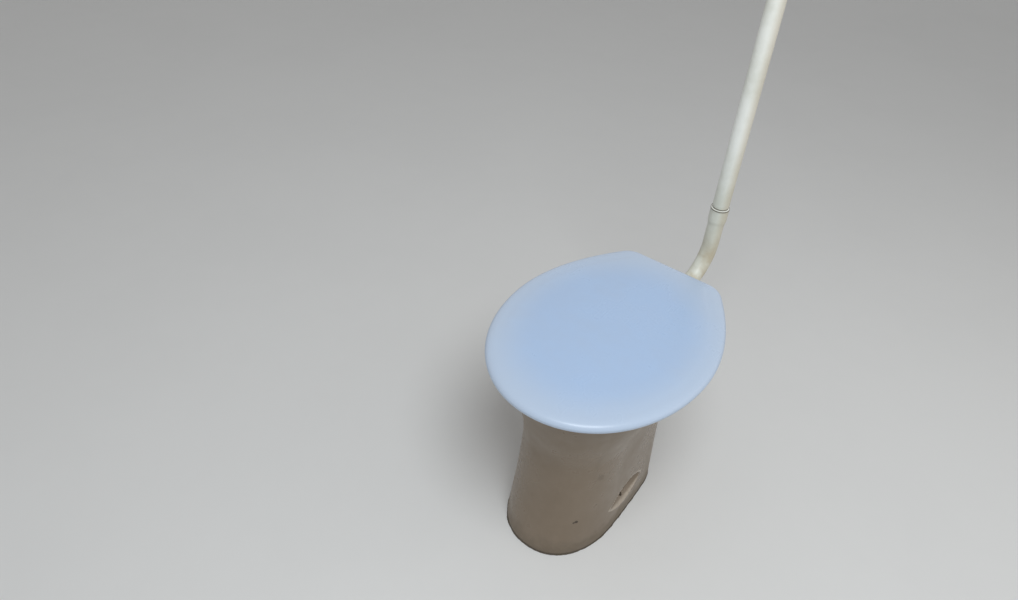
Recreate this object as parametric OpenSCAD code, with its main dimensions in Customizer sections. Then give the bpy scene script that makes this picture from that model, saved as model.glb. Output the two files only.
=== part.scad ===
// A floor-standing toilet of the high-level kind: a vitreous china pan with a plastic seat and lid,
// the flush bend behind it and the lower length of its flush pipe.
// Millimetres. X runs to the right, Y towards the wall, Z up. The origin lies on the floor,
// midway between the two floor-fixing holes.

/* [Foot and pedestal] */
// Width of the foot on the floor
foot_w = 206; // [190:1:220]
// From the fixing holes forward to the front of the foot
foot_front = 182; // [165:1:190]
// From the fixing holes back to the rear of the foot
foot_rear = 160; // [152:1:172]
// Width of the pedestal at its narrowest height
waist_w = 190; // [184:1:196]
// Narrowest height of the pedestal
waist_z = 225; // [205:1:235]
// Radius of the foot's two rear corners
foot_corner = 52; // [44:1:56]
// Thickness of the china
china = 10; // [8:0.5:11]

/* [Bowl and rim] */
// Height of the rim above the floor
pan_h = 390; // [380:1:400]
// Width of the rim
rim_w = 317; // [308:1:324]
// From the fixing holes forward to the front of the rim
rim_front = 200; // [194:1:206]
// Width of the opening inside the rim
bowl_w = 240; // [228:1:246]
// Height of the bottom of the sump
sump_z = 46; // [40:1:60]

/* [Deck behind the bowl] */
// From the fixing holes back to the rear edge of the deck
deck_rear = 262; // [256:1:272]
// Width of the deck's straight rear edge
deck_w = 190; // [184:1:200]
// Thickness of the deck at the seat bolts
deck_t = 30; // [24:1:34]
// From the seat bolts back to the deck's rear edge
bolt_in = 34; // [28:1:38]
// Radius of the seat-bolt holes
bolt_hole_r = 7; // [6:0.5:9]

/* [Water ways] */
// From the rim down to the flush inlet's axis
inlet_drop = 52; // [48:1:56]
// Radius of the flush inlet's bore
inlet_r = 22.5; // [20:0.5:24]
// Height of the outlet's axis
outlet_z = 190; // [180:1:200]
// Outer radius of the outlet spigot
outlet_r = 51; // [48:0.5:54]
// Bore radius of the outlet spigot
outlet_bore_r = 42; // [36:0.5:43]
// From the fixing holes back to the end of the spigot
outlet_end = 282; // [260:1:300]
// Radius of the passage from the sump up to the outlet
trap_r = 26; // [22:0.5:27]

/* [Floor fixing] */
// Distance between the two floor-fixing holes
fixing_spacing = 178; // [170:1:182]
// Radius of the floor-fixing holes
fixing_r = 4; // [3:0.25:4.5]
// Height of the middle of the scooped recess round each hole
scoop_z = 54; // [48:1:64]
// Length of the scooped recess
scoop_len = 124; // [100:1:136]
// Depth of the scooped recess
scoop_depth = 20; // [16:1:22]

/* [Seat and lid] */
// Width of the lid
lid_w = 376; // [370:1:382]
// Length of the lid
lid_len = 480; // [472:1:486]
// Width of the lid's straight rear edge
lid_back_w = 190; // [182:1:202]
// From each seat bolt out to the corner of the lid's rear edge
bolt_side = 25; // [24:1:28]
// Height that the lid rises from its edge to its middle
lid_crown = 4; // [2:0.5:6]
// Depth of the lid's rolled edge
lid_edge = 16; // [13:0.5:18]
// Thickness of the lid's shell
lid_wall = 5; // [4:0.5:6]
// Thickness of the seat
seat_t = 16; // [13:0.5:18]
// Width of the seat's ring at its sides
seat_ring_w = 62; // [52:1:68]
// Height of the rubber buffers under the seat
seat_buffer_h = 7; // [5:0.5:9]
// Radius of the rubber buffers
buffer_r = 8; // [6:0.5:9]

/* [Hinges] */
// Radius of the hinge pins
pin_r = 4; // [3:0.25:4.5]
// Radius of each hinge knuckle
knuckle_r = 8; // [7:0.25:8.5]
// Width of each hinge knuckle
knuckle_w = 14; // [10:0.5:16]
// From the hinge pins back to the lid's rear edge
hinge_back = 15.5; // [15:0.5:18]
// Angle at which the lid is drawn
lid_angle = 0; // [0:1:104]

/* [Flush pipe] */
// Outer radius of the flush pipe
pipe_r = 16; // [14:0.5:17]
// Wall of the flush pipe
pipe_wall = 2; // [1.5:0.25:3]
// From the fixing holes back to the upright pipe's axis
pipe_y = 374; // [366:1:390]
// From the pan's middle to the upright pipe's axis, to the right
pipe_x = 14; // [0:1:15]
// Radius of the bend's centre line
bend_r = 80; // [70:1:90]
// Height of the top of the bend's socket
socket_top = 500; // [480:1:520]
// Length of the bend's socket
socket_len = 42; // [34:1:50]
// Height of the pipe's open top end
pipe_top = 980; // [930:1:1100]

/* [Hidden] */
$fn = 64;

// Running clearance between a pin and its bore
fit = 0.08;
// Clearance between a moving piece and what it comes to rest on
rest_gap = 0.3;
// How far a cutting shape runs past the face it cuts
past = 1;

china_colour = [0.74, 0.69, 0.64];
plastic_colour = [0.93, 0.94, 0.95];
pipe_colour = [0.86, 0.86, 0.78];
rubber_colour = [0.25, 0.25, 0.24];
steel_colour = [0.72, 0.72, 0.70];

// Heights of the stack from the rim up to the lid
seat_z = pan_h + seat_buffer_h;
seat_top = seat_z + seat_t;
hinge_z = seat_z + 14;
lid_under = hinge_z + knuckle_r + 1.5;
lid_rim_top = lid_under + lid_wall - lid_crown / 2;
hinge_y = deck_rear - bolt_in;
bolt_spacing = lid_back_w - 2 * bolt_side;
inlet_z = pan_h - inlet_drop;
lid_back = hinge_y + hinge_back;
lid_front = lid_back - lid_len;

// Outline of one level of the pan, the seat or the lid, seen from above, as
// [half width, half width of the rear edge, front, widest, rear, corner radius, front fullness, side bow]
function level(w, wb, yf, ym, yb, rc, nf = 2, ns = 2.2) = [w, wb, yf, ym, yb, rc, nf, ns];
function inset(o, d) = [o[0] - d, o[1] - d, o[2] + d, o[3], o[4] - d, max(o[5] - d, 2), o[6], o[7]];
function mix(a, b, t) = a + (b - a) * t;
function shrunk(o, k) =
    [o[0] * k, o[1] * k, mix(o[3], o[2], k), o[3], mix(o[3], o[4], k), o[5] * k, o[6], o[7]];

front_steps = 12;
side_steps = 8;
corner_steps = 4;
back_steps = 4;

// Half width on the side between the widest place and the rear
function side_x(o, y) = o[1] + (o[0] - o[1]) * (1 - pow((y - o[3]) / (o[4] - o[3]), o[7]));
function front_point(o, a) =
    [o[0] * pow(sin(a), 2 / o[6]), o[3] - (o[3] - o[2]) * pow(cos(a), 2 / o[6])];
function side_point(o, t) = let (y = mix(o[3], o[4] - o[5], t)) [side_x(o, y), y];
function corner_point(o, a) =
    let (x = side_x(o, o[4] - o[5])) [x - o[5] * (1 - cos(a)), o[4] - o[5] * (1 - sin(a))];
function back_point(o, t) = [(side_x(o, o[4] - o[5]) - o[5]) * (1 - t), o[4]];

// Right half of the outline, from the front's middle to the rear's middle
function half_outline(o) = concat(
    [for (i = [0:front_steps - 1]) front_point(o, 90 * i / front_steps)],
    [for (i = [0:side_steps - 1]) side_point(o, i / side_steps)],
    [for (i = [0:corner_steps - 1]) corner_point(o, 90 * i / corner_steps)],
    [for (i = [0:back_steps]) back_point(o, i / back_steps)]);

// The whole ring of points, counted anticlockwise from the front's middle
function outline(o) = let (h = half_outline(o), n = len(h))
    concat(h, [for (i = [n - 2:-1:1]) [-h[i][0], h[i][1]]]);
function ring_at(o, z) = [for (p = outline(o)) [p[0], p[1], z]];

ring_n = 2 * (front_steps + side_steps + corner_steps + back_steps);

// Two triangles for each four-sided patch between ring r and ring s
function patch(r, s) = [for (i = [0:ring_n - 1]) let (j = (i + 1) % ring_n)
    each [[r * ring_n + i, r * ring_n + j, s * ring_n + j], [r * ring_n + i, s * ring_n + j, s * ring_n + i]]];

// A skin through rings, closed by a fan from a middle point at its first and last ring
module capped_loft(rings, first_mid, last_mid) {
    n = len(rings);
    a = n * ring_n;
    polyhedron(
        points = concat([for (r = rings) each r], [first_mid, last_mid]),
        faces = concat(
            [for (r = [0:n - 2]) each patch(r, r + 1)],
            [for (i = [0:ring_n - 1]) [a, (i + 1) % ring_n, i]],
            [for (i = [0:ring_n - 1]) [a + 1, (n - 1) * ring_n + i, (n - 1) * ring_n + (i + 1) % ring_n]]));
}

// A skin through rings whose last joins its first, such as a seat
module closed_loft(rings) {
    n = len(rings);
    polyhedron(points = [for (r = rings) each r], faces = [for (r = [0:n - 1]) each patch((r + 1) % n, r)]);
}

// Outlines of the outside of the pan

foot = level(foot_w / 2, foot_w / 2 - 10, -foot_front, -38, foot_rear, foot_corner, 2.2, 2.5);
waist = level(waist_w / 2, waist_w / 2 - 16, -foot_front + 28, -42, foot_rear + 6, foot_corner - 4, 2.2, 2.5);
rim = level(rim_w / 2, deck_w / 2, -rim_front, 4, deck_rear, 24);
belly = level(mix(waist_w, rim_w, 0.5) / 2, 80, mix(waist[2], rim[2], 0.45), -8, foot_rear + 16, 44);
opening = level(bowl_w / 2, bowl_w / 2 - 55, -rim_front + 40, -6, 108, 46);
sump = level(44, 42, -62, -10, 44, 10);

belly_z = mix(waist_z, pan_h, 0.58);
deck_under = pan_h - deck_t;

function blend_level(a, b, t) = [for (i = [0:7]) mix(a[i], b[i], t)];

// The casting is luted together from a bowl with its rim and deck, a pedestal with the sump, a trapway
// and a spigot. The bowl sits on the pedestal at lute_z
lute_z = mix(waist_z, belly_z, 0.28);
lute_outside = ring_at(blend_level(waist, belly, 0.14), lute_z);

outside_upper = [
    ring_at(inset(rim, 7), pan_h),
    ring_at(inset(rim, 2), pan_h - 2),
    ring_at(rim, pan_h - 8),
    ring_at(inset(rim, 1), deck_under + 8),
    ring_at(inset(rim, 6), deck_under + 2),
    ring_at(inset(rim, 14), deck_under),
    ring_at(blend_level(belly, rim, 0.34), deck_under),
    ring_at(blend_level(belly, rim, 0.22), mix(belly_z, deck_under, 0.6)),
    ring_at(belly, belly_z),
    ring_at(blend_level(waist, belly, 0.5), mix(waist_z, belly_z, 0.62)),
    lute_outside,
];

outside_lower = [
    lute_outside,
    ring_at(waist, waist_z),
    ring_at(blend_level(foot, waist, 0.86), 0.72 * waist_z),
    ring_at(blend_level(foot, waist, 0.66), 0.5 * waist_z),
    ring_at(blend_level(foot, waist, 0.4), 0.3 * waist_z),
    ring_at(blend_level(foot, waist, 0.12), 0.11 * waist_z),
    ring_at(foot, 5),
    ring_at(inset(foot, 1.5), 0),
];

// The hollow under the pan: up inside the pedestal, which is thicker at its sides behind the scooped
// recesses, and down round the outside of the sump
foot_hollow_w = foot_w / 2 - scoop_depth - china;
foot_hollow = level(foot_hollow_w, foot_hollow_w - 4, -foot_front + china, -42, foot_rear - china, foot_corner - china, 2.2);
hollow_rings = [
    ring_at(foot_hollow, 0),
    ring_at(
        level(
            foot_hollow_w - 3, foot_hollow_w - 7, mix(foot[2], waist[2], 0.5) + china + 3,
            -42, foot[4] - china, foot_corner - china),
        scoop_z + scoop_depth + china),
    ring_at(inset(waist, china + 1), 0.6 * waist_z),
    ring_at(inset(waist, china), 0.85 * waist_z),
    ring_at(inset(waist, china + 2), 0.93 * waist_z),
    ring_at(inset(waist, china + 6), 0.95 * waist_z),
    ring_at(level(64, 50, -112, -10, 68, 20), 0.9 * waist_z),
    ring_at(level(60, 50, -98, -10, 64, 18), 0.7 * waist_z),
    ring_at(level(56, 50, -80, -10, 56, 16), 0.4 * waist_z),
    ring_at(inset(sump, -china), sump_z + 12),
    ring_at(sump, sump_z - china + 1),
];

// The inside of the bowl, from the sump up to the rim
throat = level(58, 44, -103, -8, 56, 28);
shoulder = level(76, 50, -118, -6, 66, 34);
shoulder_z = mix(waist_z, belly_z, 0.45);
lute_inside = ring_at(blend_level(throat, shoulder, 0.7), lute_z);

inside_lower = [
    ring_at(inset(sump, 18), sump_z),
    ring_at(inset(sump, 5), sump_z + 4),
    ring_at(sump, sump_z + 16),
    ring_at(level(46, 43, -70, -10, 46, 12), 0.4 * waist_z),
    ring_at(level(50, 42, -88, -10, 51, 20), 0.7 * waist_z),
    ring_at(throat, 0.95 * waist_z),
    lute_inside,
];

inside_upper = [
    lute_inside,
    ring_at(shoulder, shoulder_z),
    ring_at(blend_level(shoulder, inset(opening, -10), 0.55), belly_z - 6),
    ring_at(inset(opening, 3), mix(belly_z, deck_under, 0.62)),
    ring_at(inset(opening, -6), deck_under - 2),
    ring_at(inset(opening, -5), deck_under + 4),
    ring_at(opening, deck_under + 8),
    ring_at(opening, pan_h - 8),
    ring_at(inset(opening, -2), pan_h - 2),
    ring_at(inset(opening, -8), pan_h),
];

// A round bar along Y
module bar_y(r, y0, y1) {
    translate([0, y0, 0]) rotate([-90, 0, 0]) cylinder(r = r, h = y1 - y0);
}

// A round bar along X, centred on x
module bar_x(r, x, w) {
    translate([x - w / 2, 0, 0]) rotate([0, 90, 0]) cylinder(r = r, h = w);
}

// The passage from the sump to the outlet: back from y0, up behind the bowl, and back again to y1
trap_z = sump_z + trap_r + 8;
trap_y = sump[4] + 68;
link_z = outlet_z + 8;
trap_shell_r = trap_r + china - 1;
module trap_run(r, y0, y1) {
    translate([0, 0, trap_z]) bar_y(r, y0, trap_y + r - 6);
    translate([0, trap_y, trap_z - r + 6]) cylinder(r = r - 1, h = link_z - trap_z + 2 * r - 12);
    translate([0, 0, link_z]) bar_y(r, trap_y - r + 6, y1);
}

// The trapway is luted to the sump at trap_start and to the pedestal's rear wall at trap_end
trap_start = sump[4] + 16;
trap_end = foot_rear - 10;

// A spindle along Y, which scoops the recess round a floor-fixing hole
module scoop() {
    half = scoop_len / 2;
    tip = 0.96 * half;
    r = (half * half + scoop_depth * scoop_depth) / (2 * scoop_depth);
    rotate([90, 0, 0]) rotate_extrude($fn = 32) polygon([
        [0, -tip],
        for (i = [-4.5:4.5]) let (h = tip * i / 4.5) [sqrt(r * r - h * h) + scoop_depth - r, h],
        [0, tip],
    ]);
}

inlet_end = deck_rear + 12;
inlet_horn_r = inlet_r + 8;

module bowl() {
    rings = concat(inside_upper, outside_upper);
    n = len(rings);
    color(china_colour) difference() {
        union() {
            closed_loft([for (i = [n - 1:-1:0]) rings[i]]);
            translate([0, 0, inlet_z]) bar_y(inlet_horn_r, opening[4] + 22, inlet_end);
        }
        translate([0, 0, inlet_z]) bar_y(inlet_r, opening[4] - 18, inlet_end + past);
        for (s = [-1, 1]) translate([s * bolt_spacing / 2, hinge_y, deck_under - 30])
            cylinder(r = bolt_hole_r, h = deck_t + 60);
    }
}

// A collar on the pedestal's rear wall carries the spigot
collar_end = foot_rear + 12;

module pedestal() {
    color(china_colour) difference() {
        union() {
            capped_loft(
                concat(inside_lower, outside_lower, hollow_rings),
                [0, -10, sump_z],
                [0, -10, sump_z - china]);
            translate([0, 0, outlet_z]) bar_y(outlet_r + 6, foot_rear - 8, collar_end);
            translate([0, 0, trap_z]) bar_y(trap_shell_r, sump[4] + 4, trap_start);
            translate([0, 0, link_z]) bar_y(trap_shell_r, trap_end, foot_rear);
        }
        trap_run(trap_shell_r, trap_start, trap_end);
        trap_run(trap_r, sump[4] - 14, collar_end);
        translate([0, 0, outlet_z]) bar_y(outlet_bore_r, foot_rear + 6, collar_end + past);
        for (s = [-1, 1]) {
            translate([s * foot_w / 2, 0, scoop_z]) scoop();
            translate([s * fixing_spacing / 2, 0, -past]) cylinder(r = fixing_r, h = scoop_z);
        }
    }
}

module trapway() {
    color(china_colour) difference() {
        trap_run(trap_shell_r, trap_start, trap_end);
        trap_run(trap_r, trap_start - past, trap_end + past);
    }
}

module outlet_spigot() {
    color(china_colour) translate([0, 0, outlet_z]) difference() {
        bar_y(outlet_r, collar_end, outlet_end);
        bar_y(outlet_bore_r, collar_end - past, outlet_end + past);
    }
}

lid_outline = level(lid_w / 2, lid_back_w / 2, lid_front, mix(lid_back, lid_front, 0.495), lid_back, 18, 2.05, 1.9);
seat_outline = level(lid_w / 2 - 10, lid_back_w / 2 + 2, lid_front + 10, lid_outline[3], hinge_y - 16, 16, 2.05, 1.9);
seat_hole = level(
    seat_outline[0] - seat_ring_w, lid_w / 2 - 2 * seat_ring_w,
    seat_outline[2] + seat_ring_w + 8, lid_outline[3] - 10, hinge_y - 116, 44);

// Cross-section of the seat's ring: distance in from its outer edge as a share of its width, and height
seat_profile = [
    [0.06, 0], [0.015, 3], [0, 6.5], [0.03, 11.5], [0.12, 14.8], [0.28, 16],
    [0.55, 16], [0.78, 14.2], [0.93, 10.5], [1, 6], [0.975, 2.5], [0.92, 0],
];

module seat_ear(s) {
    x = s * (bolt_spacing / 2 + knuckle_w / 2 + 5);
    translate([0, hinge_y, hinge_z]) bar_x(knuckle_r, x, 8);
    translate([x - 4, hinge_y - 46, seat_z]) cube([8, 46, seat_t - 3]);
}

module seat_ring() {
    color(plastic_colour) difference() {
        union() {
            closed_loft([for (p = seat_profile)
                ring_at(blend_level(seat_outline, seat_hole, p[0]), seat_z + p[1] * seat_t / 16)]);
            for (s = [-1, 1]) seat_ear(s);
        }
        for (s = [-1, 1]) translate([0, hinge_y, hinge_z])
            bar_x(pin_r + fit, s * (bolt_spacing / 2 + knuckle_w / 2 + 5), 8 + 2 * past);
    }
}

// The lid's skin: over the crown, round the rolled edge and back under the plate
lid_rings = [
    for (k = [0.3, 0.6, 0.82]) ring_at(shrunk(lid_outline, k), lid_rim_top + lid_crown * (1 - k * k)),
    ring_at(inset(lid_outline, 11), lid_rim_top),
    ring_at(inset(lid_outline, 5), lid_rim_top - 1.6),
    ring_at(inset(lid_outline, 1.4), lid_rim_top - 5.2),
    ring_at(lid_outline, lid_rim_top - 9.5),
    ring_at(inset(lid_outline, 1.2), lid_rim_top - lid_edge + 1),
    ring_at(inset(lid_outline, 2.6), lid_rim_top - lid_edge),
    ring_at(inset(lid_outline, lid_wall - 0.6), lid_rim_top - lid_edge + 1),
    ring_at(inset(lid_outline, lid_wall), lid_rim_top - lid_edge + 3),
    ring_at(inset(lid_outline, lid_wall + 1.5), lid_under - 2),
    ring_at(inset(lid_outline, lid_wall + 5), lid_under),
    ring_at(shrunk(lid_outline, 0.5), lid_under),
];
lid_middle = lid_outline[3];
// Width of the notch in the lid's rear edge that lets it turn past each hinge post
notch_w = knuckle_w + 34;

module lid_ear(s) {
    x = s * (bolt_spacing / 2 - knuckle_w / 2 - 5);
    translate([0, hinge_y, hinge_z]) bar_x(knuckle_r, x, 8);
    translate([x - 4, hinge_y - knuckle_r, hinge_z]) cube([8, 2 * knuckle_r - 3, lid_under + 1.5 - hinge_z]);
}

module opened() {
    translate([0, hinge_y, hinge_z]) rotate([-lid_angle, 0, 0]) translate([0, -hinge_y, -hinge_z]) children();
}

module lid() {
    color(plastic_colour) opened() difference() {
        union() {
            capped_loft(lid_rings,
                [0, lid_middle, lid_rim_top + lid_crown],
                [0, lid_middle, lid_under]);
            for (s = [-1, 1]) lid_ear(s);
        }
        for (s = [-1, 1]) {
            translate([0, hinge_y, hinge_z]) bar_x(pin_r + fit, s * (bolt_spacing / 2 - knuckle_w / 2 - 5), 8 + 2 * past);
            translate([s * bolt_spacing / 2 - notch_w / 2, hinge_y + knuckle_r, lid_under - lid_edge])
                cube([notch_w, hinge_back, lid_edge]);
        }
    }
}

// Places of the rubber buffers, as [x, y]
seat_front_buffer = [rim_w / 2 - 74.5, 60 - rim_front];
seat_rear_buffer = [rim_w / 2 - 34.5, 90];
lid_buffer_at = [lid_w / 2 - 80, lid_front + 96];

module seat_buffer(at) {
    color(rubber_colour) translate([at[0], at[1], pan_h]) cylinder(r = buffer_r, h = seat_buffer_h);
}

module lid_buffer(s) {
    color(rubber_colour) opened() translate([s * lid_buffer_at[0], lid_buffer_at[1], seat_top + rest_gap])
        cylinder(r = buffer_r - 1, h = lid_under - seat_top - rest_gap);
}

// A hinge post stands on the deck and carries the pin
post_base_h = 2.5;
module hinge_post(s) {
    color(plastic_colour) difference() {
        union() {
            translate([s * bolt_spacing / 2, hinge_y, pan_h]) cylinder(r = 14, h = post_base_h);
            translate([s * bolt_spacing / 2 - knuckle_w / 2, hinge_y - knuckle_r, pan_h])
                cube([knuckle_w, knuckle_r + 6, hinge_z - pan_h]);
            translate([0, hinge_y, hinge_z]) bar_x(knuckle_r, s * bolt_spacing / 2, knuckle_w);
        }
        translate([0, hinge_y, hinge_z]) bar_x(pin_r + fit, s * bolt_spacing / 2, knuckle_w + 2 * past);
        translate([s * bolt_spacing / 2, hinge_y, pan_h - past]) cylinder(r = bolt_r + fit, h = bolt_grip + past);
    }
}

bolt_r = 4;
bolt_grip = 12;
bolt_len = deck_t + 36;

module hinge_pin(s) {
    color(plastic_colour) translate([0, hinge_y, hinge_z]) {
        bar_x(pin_r, s * bolt_spacing / 2, knuckle_w + 24);
        for (e = [-1, 1]) bar_x(pin_r + 2, s * bolt_spacing / 2 + e * (knuckle_w / 2 + 12), 4);
    }
}

module hinge_bolt(s) {
    color(steel_colour) translate([s * bolt_spacing / 2, hinge_y, pan_h + bolt_grip - bolt_len - bolt_grip])
        cylinder(r = bolt_r, h = bolt_len + bolt_grip);
}

washer_t = 3;
module deck_washer(s) {
    color(rubber_colour) translate([s * bolt_spacing / 2, hinge_y, deck_under - washer_t]) difference() {
        cylinder(r = 13, h = washer_t);
        translate([0, 0, -past]) cylinder(r = bolt_r + fit, h = washer_t + 2 * past);
    }
}

nut_h = 11;
module wing_nut(s) {
    color(plastic_colour) translate([s * bolt_spacing / 2, hinge_y, deck_under - washer_t - nut_h]) difference() {
        union() {
            cylinder(r = 8.5, h = nut_h);
            rotate([0, 0, 35]) translate([-17, -1.75, 0]) cube([34, 3.5, nut_h - 2]);
        }
        translate([0, 0, -past]) cylinder(r = bolt_r + fit, h = nut_h + 2 * past);
    }
}

bend_top = inlet_z + bend_r;
socket_z = socket_top - socket_len;
socket_wall = 2.6;
socket_r = pipe_r + fit + socket_wall;
// The pipe's lower end is turned down a little to enter the socket
pipe_end_r = pipe_r - 0.5;
seal_groove = 10;

// The bend turns a little about the middle of its cone, so that the upright stands at pipe_x
cone_in = 30;
pivot_y = inlet_end - 8;
bend_turn = -atan2(pipe_x, pipe_y - pivot_y);
bend_reach = round(10 * norm([pipe_x, pipe_y - pivot_y])) / 10;
upright = [-bend_reach * sin(bend_turn), pivot_y + bend_reach * cos(bend_turn)];
module turned() {
    translate([0, pivot_y, 0]) rotate([0, 0, bend_turn]) children();
}

// The rubber cone that seals the flush bend in the pan's inlet
module inlet_cone() {
    color(rubber_colour) difference() {
        translate([0, inlet_end, inlet_z]) rotate([-90, 0, 0]) rotate_extrude() polygon([
            [0, -cone_in], [inlet_r - 1.2, -cone_in], [inlet_r - fit, -8], [inlet_r - fit, 0],
            [inlet_horn_r - 1.5, 0], [inlet_horn_r - 1.5, 5], [pipe_r + 6, 15], [0, 15],
        ]);
        turned() translate([0, 0, inlet_z]) bar_y(pipe_r + fit, -80, 80);
    }
}

// The bend's run from the pan round to the foot of its socket, with both ends carried past by e
module bend_run(r, e) {
    translate([0, 0, inlet_z]) bar_y(r, -cone_in - e, bend_reach - bend_r);
    translate([0, bend_reach - bend_r, bend_top]) rotate([0, 90, 0]) rotate_extrude(angle = 90)
        translate([bend_r, 0]) circle(r = r);
    translate([0, bend_reach, bend_top]) cylinder(r = r, h = socket_z - bend_top + e);
}

module flush_bend() {
    color(pipe_colour) turned() difference() {
        union() {
            bend_run(pipe_r, 0);
            translate([0, bend_reach, socket_z]) rotate_extrude() polygon([
                [0, -5], [pipe_r + 0.4, -5], [socket_r, 1], [socket_r, socket_len - seal_groove],
                [socket_r + 1.2, socket_len - seal_groove + 1.5], [socket_r + 1.2, socket_len - 1],
                [socket_r + 0.2, socket_len], [0, socket_len],
            ]);
        }
        bend_run(pipe_r - pipe_wall, past);
        translate([0, bend_reach, socket_z]) cylinder(r = pipe_end_r + fit, h = socket_len + past);
        translate([0, bend_reach, socket_top - 4]) cylinder(r = pipe_r + 1.6, h = 4 + past);
    }
}

module socket_seal() {
    color(rubber_colour) translate([upright[0], upright[1], socket_top - 4]) rotate_extrude() polygon([
        [pipe_end_r + fit, 0], [pipe_r + 1.5, 0], [pipe_r + 1.5, 3.4], [pipe_end_r + fit, 4.6],
    ]);
}

module flush_pipe() {
    color(pipe_colour) translate([upright[0], upright[1], socket_z]) rotate_extrude() polygon([
        [pipe_r - pipe_wall, 0], [pipe_end_r, 0], [pipe_end_r, socket_len + 6], [pipe_r, socket_len + 6.5],
        [pipe_r, pipe_top - socket_z], [pipe_r - pipe_wall, pipe_top - socket_z],
    ]);
}

bowl();
pedestal();
trapway();
outlet_spigot();
seat_ring();
lid();
seat_buffer([-seat_front_buffer[0], seat_front_buffer[1]]);  // seat_buffer_front_left
seat_buffer(seat_front_buffer);  // seat_buffer_front_right
seat_buffer([-seat_rear_buffer[0], seat_rear_buffer[1]]);  // seat_buffer_rear_left
seat_buffer(seat_rear_buffer);  // seat_buffer_rear_right
lid_buffer(-1);  // lid_buffer_left
lid_buffer(1);  // lid_buffer_right
hinge_post(-1);  // hinge_post_left
hinge_post(1);  // hinge_post_right
hinge_pin(-1);  // hinge_pin_left
hinge_pin(1);  // hinge_pin_right
hinge_bolt(-1);  // hinge_bolt_left
hinge_bolt(1);  // hinge_bolt_right
deck_washer(-1);  // deck_washer_left
deck_washer(1);  // deck_washer_right
wing_nut(-1);  // wing_nut_left
wing_nut(1);  // wing_nut_right
inlet_cone();
flush_bend();
socket_seal();
flush_pipe();
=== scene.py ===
"""Looks of a floor-standing toilet: china pan, plastic seat and lid, flush bend and flush pipe.

The shapes are worked out in millimetres, with X to the right, Y towards the wall and Z up, and are
written to the meshes in metres.
"""

import math

import bmesh
import bpy
from bpy.props import FloatProperty, FloatVectorProperty, PointerProperty
from mathutils import Matrix, Vector, noise


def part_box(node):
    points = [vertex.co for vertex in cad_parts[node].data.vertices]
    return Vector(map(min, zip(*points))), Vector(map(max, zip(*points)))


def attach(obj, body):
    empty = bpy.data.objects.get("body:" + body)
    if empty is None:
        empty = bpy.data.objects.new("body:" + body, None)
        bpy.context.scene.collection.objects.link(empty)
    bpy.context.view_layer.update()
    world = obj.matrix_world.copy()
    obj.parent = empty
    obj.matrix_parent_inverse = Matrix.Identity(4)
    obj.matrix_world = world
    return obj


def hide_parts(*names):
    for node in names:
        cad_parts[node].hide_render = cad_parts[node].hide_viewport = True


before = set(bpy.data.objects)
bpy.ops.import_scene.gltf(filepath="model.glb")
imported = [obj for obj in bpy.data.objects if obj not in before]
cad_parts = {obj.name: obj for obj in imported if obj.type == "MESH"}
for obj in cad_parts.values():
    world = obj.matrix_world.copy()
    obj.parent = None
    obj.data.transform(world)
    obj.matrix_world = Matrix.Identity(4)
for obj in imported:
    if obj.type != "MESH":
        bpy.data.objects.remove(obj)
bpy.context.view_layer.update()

bl_info = {
    "name": "Floor-standing toilet",
    "version": (1, 0, 0),
    "blender": (4, 5, 0),
    "location": "View3D > Sidebar > Toilet",
    "description": "Builds the china, seat, lid and flush fittings of a toilet round its frame",
    "category": "Object",
}

MM = 0.001
PAN_BODY = "pan_body"
LID_BODY = "lid_body"


def box_mm(node):
    """Lowest and highest corner of a node of the frame, in millimetres."""
    low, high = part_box(node)
    return [v / MM for v in low], [v / MM for v in high]


# Outlines, the way a pattern maker draws them


def level(w, wb, yf, ym, yb, rc, nf=2.0, ns=2.2):
    """One level's outline: half width, half width of the rear edge, Y of the front, of the widest
    place and of the rear, corner radius, fullness of the front, bow of the sides.
    """
    return [w, wb, yf, ym, yb, rc, nf, ns]


def inset(o, d):
    return [o[0] - d, o[1] - d, o[2] + d, o[3], o[4] - d, max(o[5] - d, 2), o[6], o[7]]


def mix(a, b, t):
    return a + (b - a) * t


def blend_level(a, b, t):
    return [mix(p, q, t) for p, q in zip(a, b)]


def shrunk(o, k):
    """An outline drawn in towards its widest line to the share k."""
    return [o[0] * k, o[1] * k, mix(o[3], o[2], k), o[3], mix(o[3], o[4], k), o[5] * k, o[6], o[7]]


def side_x(o, y):
    """Half width of a side at y, between the widest place and the rear."""
    return o[1] + (o[0] - o[1]) * (1 - ((y - o[3]) / (o[4] - o[3])) ** o[7])


def half_outline(o, steps):
    """Right half of an outline, from the front's middle to the rear's middle."""
    front, side, corner, back = steps
    pts = []
    for i in range(front):
        a = math.pi / 2 * i / front
        pts.append((o[0] * math.sin(a) ** (2 / o[6]), o[3] - (o[3] - o[2]) * math.cos(a) ** (2 / o[6])))
    for i in range(side):
        y = mix(o[3], o[4] - o[5], i / side)
        pts.append((side_x(o, y), y))
    start = o[4] - o[5]
    x = side_x(o, start)
    run = o[4] - o[3]
    turn = math.atan((o[0] - o[1]) * o[7] * ((start - o[3]) / run) ** (o[7] - 1) / run)
    r = o[5] / (1 - math.sin(turn))
    for i in range(corner):
        a = mix(turn, math.pi / 2, i / corner)
        pts.append((x - r * (math.cos(turn) - math.cos(a)), start + r * (math.sin(a) - math.sin(turn))))
    for i in range(back + 1):
        pts.append(((x - r * math.cos(turn)) * (1 - i / back), o[4]))
    return pts


def outline(o, steps):
    half = half_outline(o, steps)
    return half + [(-x, y) for x, y in half[-2:0:-1]]


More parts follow.
